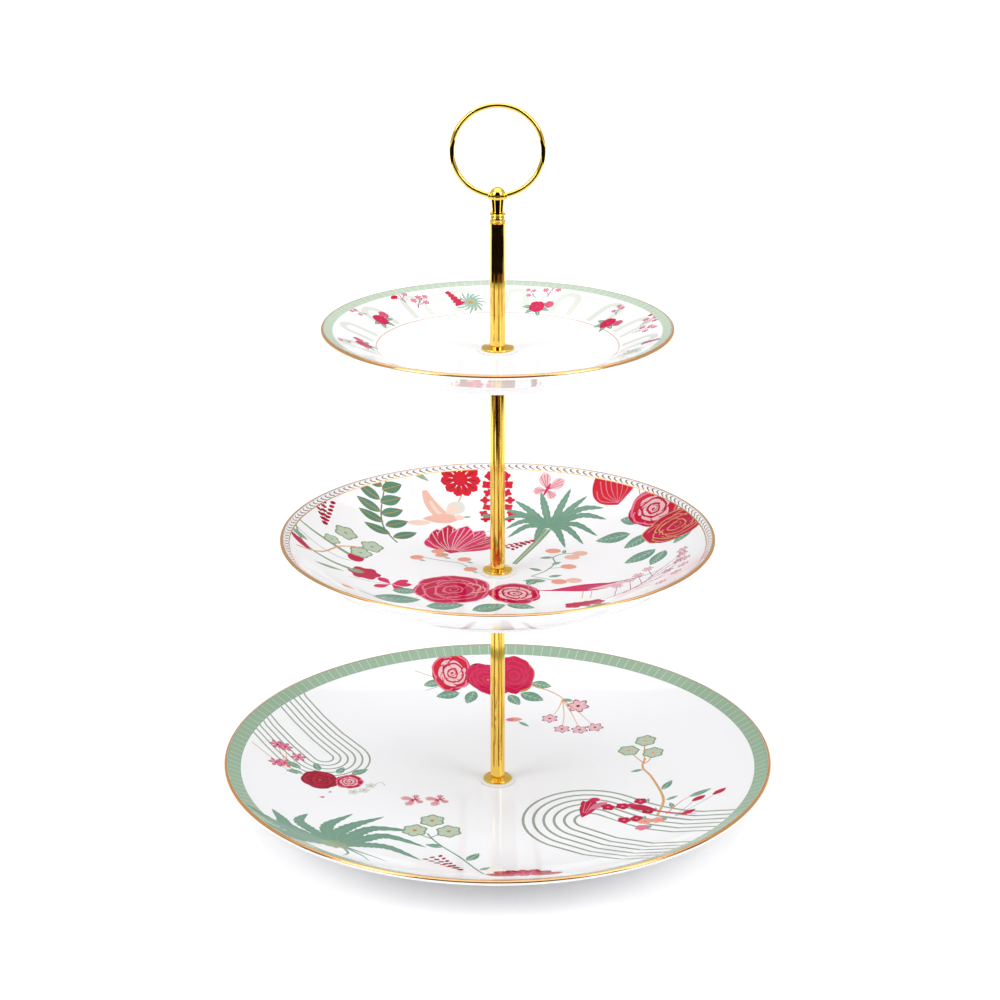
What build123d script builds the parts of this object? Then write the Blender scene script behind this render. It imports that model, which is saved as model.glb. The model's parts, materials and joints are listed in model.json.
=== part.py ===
from build123d import *
import os
from dataclasses import dataclass
from math import atan2, cos, isclose, radians, sin, tan

# Three-tier cake stand: three round porcelain plates threaded on a gold-plated post that
# comes apart in three rods, with a ring handle screwed on top.
# Frame: origin on the post's axis at the table, +Z up, the ring handle's plane is XZ.
# Every radius is measured from the post's axis. Threads are plain cylinders at their
# major diameter, and a tapped hole is THREAD_GAP wider all round.

# ---- plates -------------------------------------------------------------------------
PLATE_T = 3.6          # thickness of a plate's flat well
LIP_T = 2.4            # thickness at the rounded lip
HOLE_R = 4.0           # hole in the middle of each plate
FOOT_W = 4.4           # width of a foot ring where it leaves the plate
FOOT_FLAT = 1.8        # width of its flat bottom
FOOT_ROOT = 1.0        # how far a foot ring is sunk into the plate above it
PLATE_ROUND = 0.5      # easing of the hole's and the foot ring's edges

# ---- post ---------------------------------------------------------------------------
TIER_PITCH = 109.6     # from one plate's well to the next
TOP_ROD_L = 57.7       # the short rod under the handle
ROD_R = 3.5            # outside of the tubular rods
ROD_BORE_R = 2.5
ROD_CHAMFER = 0.2
INSERT_L = 9.0         # threaded insert pressed into a rod's lower end
PLUG_L = 8.0           # plug end of a stud, pressed into a rod's upper end
STUD_R = 2.0           # M4 studs and base screw
STUD_GRIP = 6.5        # stud above a rod's lower end
THREAD_GAP = 0.05      # radial, between a stud and its tapped hole
STUD_CHAMFER = 0.4

# ---- flange under each rod ----------------------------------------------------------
FLANGE_EDGE = 1.0      # height of its rounded edge
FLANGE_H = 1.7         # height of the landing that the rod stands on
FLANGE_LANDING_R = 3.9
FLANGE_ROUND = 0.5
TAIL_R = 2.8           # insert's tail, which the flange turns on
TAIL_GAP = 0.08
CATCH_R = 3.3          # swaged lip that keeps the flange on the insert
CATCH_H = 0.45
CATCH_Z = 0.1          # lip's underside above the flange's underside
CATCH_POCKET_R = 3.5
CATCH_POCKET_H = 0.65

# ---- washers and gaskets ------------------------------------------------------------
RING_EASE = 0.15       # easing of every washer's and gasket's outer edges
GASKET_T = 1.0         # soft gasket between a flange and its plate
GASKET_HOLE_R = 3.8
PAD_T = 0.8            # soft gasket under a plate
PAD_HOLE_R = 2.6
WASHER_T = 1.0         # metal washer under the middle and top plates
WASHER_R = 7.0
WASHER_HOLE_R = 2.2
PAD_R = 7.5
BASE_WASHER_T = 0.8
HEAD_R = 4.0           # base screw's pan head
HEAD_H = 2.4
HEAD_ROUND = 1.3
RECESS_L = 4.4         # cross recess
RECESS_W = 0.9
RECESS_D = 1.2

# ---- handle -------------------------------------------------------------------------
COLLAR_H = 4.9
COLLAR_BORE_GAP = 0.08
COLLAR_DISC_R = 3.7
COLLAR_DISC_T = 0.6
COLLAR_CUP_R = 3.25
COLLAR_WAIST_R = 2.65
COLLAR_BULGE_R = 3.3
COLLAR_NECK_R = 2.9
LOWER_DISC_RISE = 0.4  # undersides of the collar's two discs above the top rod
UPPER_DISC_RISE = 3.6
BULGE_INSET = 0.2      # where the bulge springs from the lower disc, inside its widest radius
BULGE_RISE = 0.7       # its widest point above the lower disc
WAIST_DROP = 0.5       # the waist below the upper disc
DISC_SLOPE = 0.1       # rise of the upper disc's top towards the neck
NECK_FOOT_R = 2.6      # finial's neck, where it leaves the collar
NECK_TOP_R = 3.2
BALL_R = 3.6
BALL_RISE = 12.6       # ball's centre above the top rod
BOSS_R = 1.5           # small bosses where the ring enters the ball
BOSS_REACH = 4.3
BOSS_ROUND = 0.25
RING_R = 20.5          # ring's centre line
RING_WIRE_R = 1.15
RING_DROP = 0.4        # ring's lowest centre point below the ball's centre
HANDLE_TAIL_R = 2.1
HANDLE_CATCH_R = 2.5
HANDLE_POCKET_R = 2.7
HANDLE_STUD_R = 1.5    # M3
HANDLE_STUD_GRIP = 6.2
HANDLE_BORE_SPARE = 1.0


@dataclass
class Tier:
    """One plate and the hardware clamped on it."""

    name: str
    rim_r: float        # outside of the lip
    rim_rise: float     # top of the lip above the well
    well_r: float       # where the flat well ends
    shoulder: tuple     # (radius, slope in radians) where the well's curve turns into a flat rim, or ()
    foot_r: float
    foot_drop: float    # foot ring's bottom below the plate's underside
    flange_r: float
    gasket_r: float


TIERS = [
    Tier(
        name="lower", rim_r=133.0, rim_rise=16.4, well_r=66.0, shoulder=(),
        foot_r=76.0, foot_drop=5.0, flange_r=7.0, gasket_r=8.7,
    ),
    Tier(
        name="middle", rim_r=102.9, rim_rise=20.3, well_r=45.0, shoulder=(),
        foot_r=60.0, foot_drop=2.2, flange_r=7.0, gasket_r=8.7,
    ),
    Tier(
        name="top", rim_r=81.2, rim_rise=12.6, well_r=46.0, shoulder=(53.0, radians(26)),
        foot_r=47.0, foot_drop=3.0, flange_r=7.6, gasket_r=9.1,
    ),
]
WELL_Z = [TIERS[0].foot_drop + PLATE_T + i * TIER_PITCH for i in range(len(TIERS))]
SEAT_Z = [z + GASKET_T for z in WELL_Z]                 # undersides of the flanges
LANDING_Z = [z + FLANGE_H for z in SEAT_Z]              # lower ends of the rods
UNDER_Z = [z - PLATE_T for z in WELL_Z]                 # undersides of the plates
ROD_L = TIER_PITCH - FLANGE_H - GASKET_T - PLATE_T - PAD_T - WASHER_T
ROD_TOP_Z = [LANDING_Z[0] + ROD_L, LANDING_Z[1] + ROD_L, LANDING_Z[2] + TOP_ROD_L]
BALL_Z = ROD_TOP_Z[2] + BALL_RISE
RING_Z = BALL_Z - RING_DROP + RING_R

os.makedirs("parts", exist_ok=True)


def save(piece, node):
    """Labels a finished piece and writes its STEP file."""
    piece.part.label = node
    export_step(piece.part, f"parts/{node}.step")


def flat_ring(node, low_z, thickness, outer_r, hole_r):
    """A washer or gasket, with its outer edges eased."""
    with BuildPart() as ring:
        with BuildSketch(Plane.XY.offset(low_z)):
            Circle(outer_r)
            Circle(hole_r, mode=Mode.SUBTRACT)
        extrude(amount=thickness)
        outer_face = ring.faces().filter_by(GeomType.CYLINDER).sort_by(SortBy.AREA)[-1]
        fillet(outer_face.edges().filter_by(GeomType.CIRCLE), RING_EASE)
    save(ring, node)


def rising_arcs(start, via, end):
    """Arcs that leave start level and reach end through the points of via."""
    point, direction = start, (1, 0)
    for target in [*via, end]:
        arc = TangentArc(point, target, tangent=direction)
        point, direction = arc @ 1, arc % 1


# ---- plates -------------------------------------------------------------------------
def make_plate(tier, well_z):
    """A round plate: flat well, rising side, rounded lip, and a foot ring under it."""
    under_z = well_z - PLATE_T
    lip_r, lip_z = tier.rim_r - LIP_T / 2, well_z + tier.rim_rise - LIP_T / 2
    upper_via, lower_via = [], []
    chord_r, chord_z, start_slope = tier.well_r, well_z, 0.0
    if tier.shoulder:
        chord_r, start_slope = tier.shoulder
        chord_z = well_z + (chord_r - tier.well_r) * tan(start_slope / 2)
        upper_via = [(chord_r, chord_z)]
        lower_via = [
            (chord_r + PLATE_T * sin(start_slope), chord_z - PLATE_T * cos(start_slope))
        ]
    rim_slope = 2 * atan2(lip_z - chord_z, lip_r - chord_r) - start_slope
    lean, lift = LIP_T / 2 * sin(rim_slope), LIP_T / 2 * cos(rim_slope)
    lip_upper = (lip_r - lean, lip_z + lift)
    lip_lower = (lip_r + lean, lip_z - lift)
    foot_z = under_z - tier.foot_drop
    # height of the plate's underside over the foot ring, which may stand on the rising side
    past_well = max(tier.foot_r - tier.well_r, 0)
    foot_top = under_z + past_well * tan(rim_slope * past_well / (tier.rim_r - tier.well_r) / 2)
    with BuildPart() as plate:
        with BuildSketch(Plane.XZ):
            with BuildLine():
                rising_arcs((tier.well_r, well_z), upper_via, lip_upper)
                rising_arcs((tier.well_r, under_z), lower_via, lip_lower)
                TangentArc(lip_upper, lip_lower, tangent=(cos(rim_slope), sin(rim_slope)))
                Polyline(
                    (tier.well_r, well_z),
                    (HOLE_R, well_z),
                    (HOLE_R, under_z),
                    (tier.well_r, under_z),
                )
            make_face()
            with BuildLine():
                Polyline(
                    (tier.foot_r - FOOT_W / 2, foot_top + FOOT_ROOT),
                    (tier.foot_r - FOOT_FLAT / 2, foot_z),
                    (tier.foot_r + FOOT_FLAT / 2, foot_z),
                    (tier.foot_r + FOOT_W / 2, foot_top + FOOT_ROOT),
                    close=True,
                )
            make_face()
        revolve(axis=Axis.Z)
        hole_edges = plate.edges().filter_by(GeomType.CIRCLE).filter_by(
            lambda edge: isclose(edge.radius, HOLE_R)
        )
        fillet(hole_edges, PLATE_ROUND)
        foot_edges = plate.edges().filter_by(GeomType.CIRCLE).group_by(Axis.Z)[0]
        fillet(foot_edges, PLATE_ROUND)
    save(plate, f"{tier.name}_plate")


for tier, well_z in zip(TIERS, WELL_Z):
    make_plate(tier, well_z)


# ---- flanges, gaskets and washers ---------------------------------------------------
def make_flange(tier, seat_z):
    """The low gold flange that a rod stands on. It turns on the insert's tail."""
    with BuildPart() as flange:
        with BuildSketch(Plane.XZ):
            with BuildLine():
                hole_r = TAIL_R + TAIL_GAP
                edge_top = seat_z + FLANGE_EDGE
                Polyline(
                    (tier.flange_r - FLANGE_ROUND, edge_top),
                    (FLANGE_LANDING_R, seat_z + FLANGE_H),
                    (hole_r, seat_z + FLANGE_H),
                    (hole_r, seat_z + CATCH_POCKET_H),
                    (CATCH_POCKET_R, seat_z + CATCH_POCKET_H),
                    (CATCH_POCKET_R, seat_z),
                    (tier.flange_r - FLANGE_ROUND, seat_z),
                )
                ThreePointArc(
                    (tier.flange_r - FLANGE_ROUND, seat_z),
                    (tier.flange_r, seat_z + FLANGE_EDGE / 2),
                    (tier.flange_r - FLANGE_ROUND, edge_top),
                )
            make_face()
        revolve(axis=Axis.Z)
    save(flange, f"{tier.name}_flange")


for tier, well_z, seat_z in zip(TIERS, WELL_Z, SEAT_Z):
    flat_ring(f"{tier.name}_flange_gasket", well_z, GASKET_T, tier.gasket_r, GASKET_HOLE_R)
    make_flange(tier, seat_z)

flat_ring("base_gasket", UNDER_Z[0] - PAD_T, PAD_T, PAD_R, PAD_HOLE_R)
flat_ring("base_washer", UNDER_Z[0] - PAD_T - BASE_WASHER_T, BASE_WASHER_T, WASHER_R, WASHER_HOLE_R)
for tier, under_z in zip(TIERS[1:], UNDER_Z[1:]):
    flat_ring(f"{tier.name}_support_gasket", under_z - PAD_T, PAD_T, PAD_R, PAD_HOLE_R)
    flat_ring(f"{tier.name}_support_washer", under_z - PAD_T - WASHER_T, WASHER_T, WASHER_R, WASHER_HOLE_R)


# ---- rods, their inserts and studs --------------------------------------------------
def make_rod(name, low_z, length):
    """A tubular rod with both ends eased."""
    with BuildPart() as rod:
        with BuildSketch(Plane.XY.offset(low_z)):
            Circle(ROD_R)
            Circle(ROD_BORE_R, mode=Mode.SUBTRACT)
        extrude(amount=length)
        outer_face = rod.faces().filter_by(GeomType.CYLINDER).sort_by(SortBy.AREA)[-1]
        chamfer(outer_face.edges().filter_by(GeomType.CIRCLE), ROD_CHAMFER)
    save(rod, f"{name}_rod")


def make_insert(name, seat_z):
    """The tapped insert in a rod's lower end, with the tail and lip that hold the flange."""
    landing_z = seat_z + FLANGE_H
    catch_z = seat_z + CATCH_Z
    with BuildPart() as insert:
        with BuildSketch(Plane.XY.offset(landing_z)):
            Circle(ROD_BORE_R)
        extrude(amount=INSERT_L)
        with BuildSketch(Plane.XY.offset(catch_z)):
            Circle(TAIL_R)
        extrude(amount=landing_z - catch_z)
        with BuildSketch(Plane.XY.offset(catch_z)):
            Circle(CATCH_R)
        extrude(amount=CATCH_H)
        with BuildSketch(Plane.XY.offset(catch_z)):
            Circle(STUD_R + THREAD_GAP)
        extrude(amount=landing_z - catch_z + INSERT_L, mode=Mode.SUBTRACT)
        top_face = insert.faces().sort_by(Axis.Z)[-1]
        chamfer(top_face.outer_wire().edges(), ROD_CHAMFER)
    save(insert, f"{name}_rod_insert")


def make_stud(node, rod_top_z, stud_r, stud_top_z):
    """A stud on a plug: the plug is pressed into a rod's upper end."""
    with BuildPart() as stud:
        with BuildSketch(Plane.XY.offset(rod_top_z - PLUG_L)):
            Circle(ROD_BORE_R)
        extrude(amount=PLUG_L)
        with BuildSketch(Plane.XY.offset(rod_top_z)):
            Circle(stud_r)
        extrude(amount=stud_top_z - rod_top_z)
        top_face = stud.faces().sort_by(Axis.Z)[-1]
        chamfer(top_face.edges(), STUD_CHAMFER)
    save(stud, node)


for tier, seat_z, landing_z, rod_top_z in zip(TIERS, SEAT_Z, LANDING_Z, ROD_TOP_Z):
    make_rod(tier.name, landing_z, rod_top_z - landing_z)
    make_insert(tier.name, seat_z)
for tier, rod_top_z, next_landing_z in zip(TIERS, ROD_TOP_Z, LANDING_Z[1:]):
    make_stud(f"{tier.name}_stud", rod_top_z, STUD_R, next_landing_z + STUD_GRIP)
make_stud("handle_stud", ROD_TOP_Z[2], HANDLE_STUD_R, ROD_TOP_Z[2] + HANDLE_STUD_GRIP)


# ---- base screw ---------------------------------------------------------------------
head_top_z = UNDER_Z[0] - PAD_T - BASE_WASHER_T
with BuildPart() as base_screw:
    with BuildSketch(Plane.XY.offset(head_top_z)):
        Circle(HEAD_R)
    extrude(amount=-HEAD_H)
    fillet(base_screw.faces().sort_by(Axis.Z)[0].edges(), HEAD_ROUND)
    with BuildSketch(Plane.XY.offset(head_top_z)):
        Circle(STUD_R)
    extrude(amount=LANDING_Z[0] + STUD_GRIP - head_top_z)
    chamfer(base_screw.faces().sort_by(Axis.Z)[-1].edges(), STUD_CHAMFER)
    with BuildSketch(Plane.XY.offset(head_top_z - HEAD_H)):
        Rectangle(RECESS_L, RECESS_W)
        Rectangle(RECESS_W, RECESS_L)
    extrude(amount=RECESS_D, mode=Mode.SUBTRACT)
save(base_screw, "base_screw")


# ---- handle -------------------------------------------------------------------------
collar_z = ROD_TOP_Z[2]
neck_z = collar_z + COLLAR_H
catch_z = collar_z + CATCH_Z
lower_disc_z = collar_z + LOWER_DISC_RISE
upper_disc_z = collar_z + UPPER_DISC_RISE
disc_end_r = COLLAR_DISC_R - COLLAR_DISC_T / 2
collar_bore_r = HANDLE_TAIL_R + COLLAR_BORE_GAP
with BuildPart() as neck_collar:
    with BuildSketch(Plane.XZ):
        with BuildLine():
            Polyline(
                (collar_bore_r, neck_z),
                (collar_bore_r, collar_z + CATCH_POCKET_H),
                (HANDLE_POCKET_R, collar_z + CATCH_POCKET_H),
                (HANDLE_POCKET_R, collar_z),
                (COLLAR_CUP_R - ROD_CHAMFER, collar_z),
                (COLLAR_CUP_R, lower_disc_z),
                (disc_end_r, lower_disc_z),
            )
            ThreePointArc(
                (disc_end_r, lower_disc_z),
                (COLLAR_DISC_R, lower_disc_z + COLLAR_DISC_T / 2),
                (disc_end_r, lower_disc_z + COLLAR_DISC_T),
            )
            Line(
                (disc_end_r, lower_disc_z + COLLAR_DISC_T),
                (COLLAR_BULGE_R - BULGE_INSET, lower_disc_z + COLLAR_DISC_T),
            )
            bulge = ThreePointArc(
                (COLLAR_BULGE_R - BULGE_INSET, lower_disc_z + COLLAR_DISC_T),
                (COLLAR_BULGE_R, lower_disc_z + COLLAR_DISC_T + BULGE_RISE),
                (COLLAR_WAIST_R, upper_disc_z - WAIST_DROP),
            )
            Polyline(
                bulge @ 1,
                (disc_end_r, upper_disc_z),
            )
            ThreePointArc(
                (disc_end_r, upper_disc_z),
                (COLLAR_DISC_R, upper_disc_z + COLLAR_DISC_T / 2),
                (disc_end_r, upper_disc_z + COLLAR_DISC_T),
            )
            Polyline(
                (disc_end_r, upper_disc_z + COLLAR_DISC_T),
                (COLLAR_NECK_R, upper_disc_z + COLLAR_DISC_T + DISC_SLOPE),
                (COLLAR_NECK_R, neck_z),
                (collar_bore_r, neck_z),
            )
        make_face()
    revolve(axis=Axis.Z)
save(neck_collar, "neck_collar")

ring_plane = Plane(origin=(0, 0, RING_Z), z_dir=(0, 1, 0))
with BuildPart() as finial:
    with BuildSketch(Plane.XZ):
        with BuildLine():
            Polyline(
                (0, catch_z),
                (HANDLE_CATCH_R, catch_z),
                (HANDLE_CATCH_R, catch_z + CATCH_H),
                (HANDLE_TAIL_R, catch_z + CATCH_H),
                (HANDLE_TAIL_R, neck_z),
                (NECK_FOOT_R, neck_z),
                (NECK_TOP_R, BALL_Z - NECK_TOP_R / 2),
                (0, BALL_Z),
                (0, catch_z),
            )
        make_face()
    revolve(axis=Axis.Z)
    with Locations((0, 0, BALL_Z)):
        Sphere(BALL_R)
    with BuildSketch(Plane.YZ):
        with Locations((0, BALL_Z - RING_DROP)):
            Circle(BOSS_R)
    extrude(amount=BOSS_REACH, both=True)
    fillet(finial.faces().filter_by(GeomType.PLANE).group_by(Axis.X)[0].edges(), BOSS_ROUND)
    fillet(finial.faces().filter_by(GeomType.PLANE).group_by(Axis.X)[-1].edges(), BOSS_ROUND)
    with BuildSketch(Plane.XY.offset(catch_z)):
        Circle(HANDLE_STUD_R + THREAD_GAP)
    extrude(amount=HANDLE_STUD_GRIP + HANDLE_BORE_SPARE, mode=Mode.SUBTRACT)
    with Locations(ring_plane):
        Torus(RING_R, RING_WIRE_R, mode=Mode.SUBTRACT)
save(finial, "finial")

with BuildPart() as ring_handle:
    with Locations(ring_plane):
        Torus(RING_R, RING_WIRE_R)
save(ring_handle, "ring_handle")
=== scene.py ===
"""Tiered cake stand: printed porcelain plates, a gold-plated screwed post and a ring handle."""
import json
import math
import random

import bpy
import numpy as np
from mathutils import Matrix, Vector
from mathutils.geometry import delaunay_2d_cdt

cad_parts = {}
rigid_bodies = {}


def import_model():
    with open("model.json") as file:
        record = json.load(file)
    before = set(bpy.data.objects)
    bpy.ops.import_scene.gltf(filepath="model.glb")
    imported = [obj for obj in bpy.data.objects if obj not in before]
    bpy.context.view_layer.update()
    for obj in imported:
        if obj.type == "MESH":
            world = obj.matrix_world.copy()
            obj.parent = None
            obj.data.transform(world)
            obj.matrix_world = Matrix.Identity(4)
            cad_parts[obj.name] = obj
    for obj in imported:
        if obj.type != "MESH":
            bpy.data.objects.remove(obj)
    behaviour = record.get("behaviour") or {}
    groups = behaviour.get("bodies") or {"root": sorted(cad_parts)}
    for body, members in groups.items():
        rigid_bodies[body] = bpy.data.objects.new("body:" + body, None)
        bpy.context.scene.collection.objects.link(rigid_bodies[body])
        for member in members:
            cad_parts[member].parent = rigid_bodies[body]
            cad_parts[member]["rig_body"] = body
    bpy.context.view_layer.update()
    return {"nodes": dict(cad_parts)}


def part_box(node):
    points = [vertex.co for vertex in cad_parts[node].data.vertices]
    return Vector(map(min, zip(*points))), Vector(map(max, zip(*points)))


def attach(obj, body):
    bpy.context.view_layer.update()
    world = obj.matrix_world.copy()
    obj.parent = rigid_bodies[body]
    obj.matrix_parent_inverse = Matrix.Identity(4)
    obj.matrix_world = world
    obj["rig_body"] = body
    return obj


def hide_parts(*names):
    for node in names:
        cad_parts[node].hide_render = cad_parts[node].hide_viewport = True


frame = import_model()
nodes = frame["nodes"]
MM = 0.001
TAU = 2 * math.pi
CLOUD_DETAIL = 4.0
CLOUD_RANGE = (0.3, 0.7)    # noise values that are spread over a finish's roughness range
GRAIN_SCALE = 3.1           # fine relief against the cloudy roughness
GRAIN_DETAIL = 2.0
INK_GAIN, INK_DROP, INK_FLOOR = 0.86, 0.03, 0.0015


# ---- materials ------------------------------------------------------------------------
def linear(red, green, blue):
    """A display colour given as 0-255 numbers, as the linear colour that shaders use."""
    out = []
    for value in (red, green, blue):
        value /= 255
        out.append(value / 12.92 if value <= 0.04045 else ((value + 0.055) / 1.055) ** 2.4)
    return (*out, 1.0)


def set_inputs(node, values):
    for name, value in values.items():
        node.inputs[name].default_value = value
    return node


def map_range(tree, source, target):
    """A node that spreads the source range over the target range."""
    names = ("From Min", "From Max", "To Min", "To Max")
    return set_inputs(tree.nodes.new("ShaderNodeMapRange"), dict(zip(names, (*source, *target))))


def finish_material(name, color, metallic=0.0, rough=(0.1, 0.2), scale=60.0, bump=0.1, depth=0.0002,
                    stretch=(1, 1, 1), ior=1.5):
    """A surface with a plain base colour, cloudy roughness and a fine relief."""
    material = bpy.data.materials.new(name)
    material.use_nodes = True
    tree = material.node_tree
    make, link = tree.nodes.new, tree.links.new
    shader = tree.nodes["Principled BSDF"]
    set_inputs(shader, {"Base Color": color, "Metallic": metallic, "IOR": ior})
    mapping = set_inputs(make("ShaderNodeMapping"), {"Scale": stretch})
    link(make("ShaderNodeTexCoord").outputs["Object"], mapping.inputs["Vector"])
    cloud = set_inputs(make("ShaderNodeTexNoise"), {"Scale": scale, "Detail": CLOUD_DETAIL})
    grain = set_inputs(make("ShaderNodeTexNoise"), {"Scale": scale * GRAIN_SCALE, "Detail": GRAIN_DETAIL})
    for noise in (cloud, grain):
        link(mapping.outputs["Vector"], noise.inputs["Vector"])
    spread = map_range(tree, CLOUD_RANGE, rough)
    link(cloud.outputs["Fac"], spread.inputs["Value"])
    link(spread.outputs["Result"], shader.inputs["Roughness"])
    relief = set_inputs(make("ShaderNodeBump"), {"Strength": bump, "Distance": depth})
    link(grain.outputs["Fac"], relief.inputs["Height"])
    link(relief.outputs["Normal"], shader.inputs["Normal"])
    return material


def enamel(name, *rgb):
    """A printed colour, a little deeper than it should look under the glaze's white reflections."""
    color = (*(max(INK_GAIN * c - INK_DROP, INK_FLOOR) for c in linear(*rgb)[:3]), 1.0)
    return finish_material("print_" + name, color, rough=(0.06, 0.12), scale=90, bump=0.06, ior=1.25)


GLAZE = finish_material("porcelain_glaze", linear(241, 241, 243), rough=(0.02, 0.06), scale=45, bump=0.05,
                        depth=0.00015)
PLATING = (1.0, 0.66, 0.12, 1)
GOLD = finish_material("gold_plate", PLATING, metallic=1.0, rough=(0.03, 0.07), scale=140, bump=0.03,
                       depth=0.0001)
DRAWN_GOLD = finish_material("gold_drawn_tube", PLATING, metallic=1.0, rough=(0.04, 0.1), scale=420, bump=0.9,
                             depth=0.0002, stretch=(1, 1, 0.012))
LIP_GOLD = finish_material("gold_lip_line", (0.82, 0.44, 0.18, 1), metallic=0.86, rough=(0.08, 0.18),
                           scale=220, bump=0.25, depth=0.0001)
BRASS = finish_material("turned_brass", (0.80, 0.58, 0.26, 1), metallic=1.0, rough=(0.22, 0.4), scale=60,
                        bump=0.3, depth=0.00008, stretch=(1, 1, 30))
ZINC = finish_material("zinc_plated_thread", (0.62, 0.63, 0.65, 1), metallic=1.0, rough=(0.25, 0.45),
                       scale=400, bump=0.3, depth=0.00005)
RUBBER = finish_material("white_rubber", linear(233, 232, 229), rough=(0.45, 0.6), scale=500, bump=0.4,
                         depth=0.00005, ior=1.45)
INK_COLOURS = {
    "crimson": (203, 36, 84),
    "wine": (158, 24, 62),
    "scarlet": (218, 26, 66),
    "magenta": (220, 62, 106),
    "pink": (236, 130, 158),
    "blush": (244, 200, 204),
    "peach": (247, 196, 178),
    "coral": (245, 168, 148),
    "mauve": (178, 92, 132),
    "sage": (124, 164, 144),
    "green": (104, 148, 122),
    "moss": (150, 172, 138),
    "vein": (186, 208, 188),
    "mint": (199, 212, 190),
    "line": (166, 176, 160),
    "mist": (226, 230, 222),
    "band": (163, 190, 165),
    "tick": (205, 220, 198),
    "pale_band": (196, 213, 192),
    "ochre": (205, 152, 84),
    "twig": (228, 176, 126),
    "umber": (138, 116, 98),
    "shell": (251, 222, 208),
    "rim_pink": (226, 190, 172),
}
INKS = {name: enamel(name, *rgb) for name, rgb in INK_COLOURS.items()}
INKS["leaf_gold"] = LIP_GOLD


# ---- meshes ---------------------------------------------------------------------------
def body_of(node):
    return nodes[node]["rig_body"]


def declare(mesh, node):
    """The mesh as a visible piece that rides on a CAD node's body and stands in for it."""
    piece = bpy.data.objects.new(mesh.name, mesh)
    bpy.context.scene.collection.objects.link(piece)
    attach(piece, body_of(node))
    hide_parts(node)


def make_object(name, verts, faces, normals, materials, indices, node):
    """A finished piece that stands in for a CAD node, with its own smooth normals."""
    mesh = bpy.data.meshes.new(name)
    mesh.from_pydata([tuple(c * MM for c in v) for v in verts], [], faces)
    for material in materials:
        mesh.materials.append(material)
    mesh.polygons.foreach_set("material_index", indices)
    mesh.polygons.foreach_set("use_smooth", [True] * len(mesh.polygons))
    mesh.update()
    mesh.normals_split_custom_set_from_vertices(normals)
    declare(mesh, node)


def rounded(corners):
    """A path through (r, z, corner radius) points with each corner rounded by its own radius."""
    path = []
    for i, (r, z, radius) in enumerate(corners):
        here = Vector((r, z))
        if not radius:
            path.append(here)
            continue
        before = Vector(corners[i - 1][:2]) - here
        after = Vector(corners[i + 1][:2]) - here
        half = before.angle(after) / 2
        reach = min(radius / math.tan(half), before.length * 0.49, after.length * 0.49)
        centre = here + (before.normalized() + after.normalized()).normalized() * (
            reach / math.cos(half)
        )
        start, end = here + before.normalized() * reach, here + after.normalized() * reach
        for k in range(7):
            spoke = (start - centre).slerp(end - centre, k / 6).normalized()
            path.append(centre + spoke * (start - centre).length)
    return path


def path_normals(path):
    """Outward normals of a path that runs with the solid on its left, longer sides counting more."""
    out = []
    for i, here in enumerate(path):
        before = here - path[i - 1] if i else Vector((0, 0))
        after = path[i + 1] - here if i < len(path) - 1 else Vector((0, 0))
        along = before * before.length + after * after.length
        if along.length < 1e-9:
            along = before + after
        out.append(Vector((along.y, -along.x)).normalized())
    return out


def bands(rows, count):
    """Quads between successive rings of vertices."""
    faces = []
    for a in range(0, (rows - 1) * count, count):
        for k in range(count):
            after = (k + 1) % count
            faces.append((a + k, a + after, a + count + after, a + count + k))
    return faces


def lathe(path, normals, count):
    """Vertices, quads and vertex normals of a path turned round the Z axis."""
    verts, vertex_normals = [], []
    for here, normal in zip(path, normals):
        for k in range(count):
            cos, sin = math.cos(TAU * k / count), math.sin(TAU * k / count)
            verts.append((here.x * cos, here.x * sin, here.y))
            vertex_normals.append((normal.x * cos, normal.x * sin, normal.y))
    return verts, bands(len(path), count), vertex_normals


# ---- plate profiles -------------------------------------------------------------------
class Arc:
    """A circular arc in the (r, z) plane that leaves its start at a given slope."""

    def __init__(self, start, slope, end):
        self.start, self.end, self.slope = start, end, slope
        chord = (end[0] - start[0], end[1] - start[1])
        bend = math.atan2(chord[1], chord[0]) - slope
        self.radius = math.hypot(*chord) / (2 * math.sin(bend))
        self.centre = (start[0] - self.radius * math.sin(slope), start[1] + self.radius * math.cos(slope))
        self.end_slope = slope + 2 * bend

    def height(self, r):
        depth = math.sqrt(max(self.radius ** 2 - (r - self.centre[0]) ** 2, 0))
        return self.centre[1] - math.copysign(depth, self.radius)

    def tilt(self, r):
        return (r - self.centre[0]) / (self.centre[1] - self.height(r))


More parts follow.
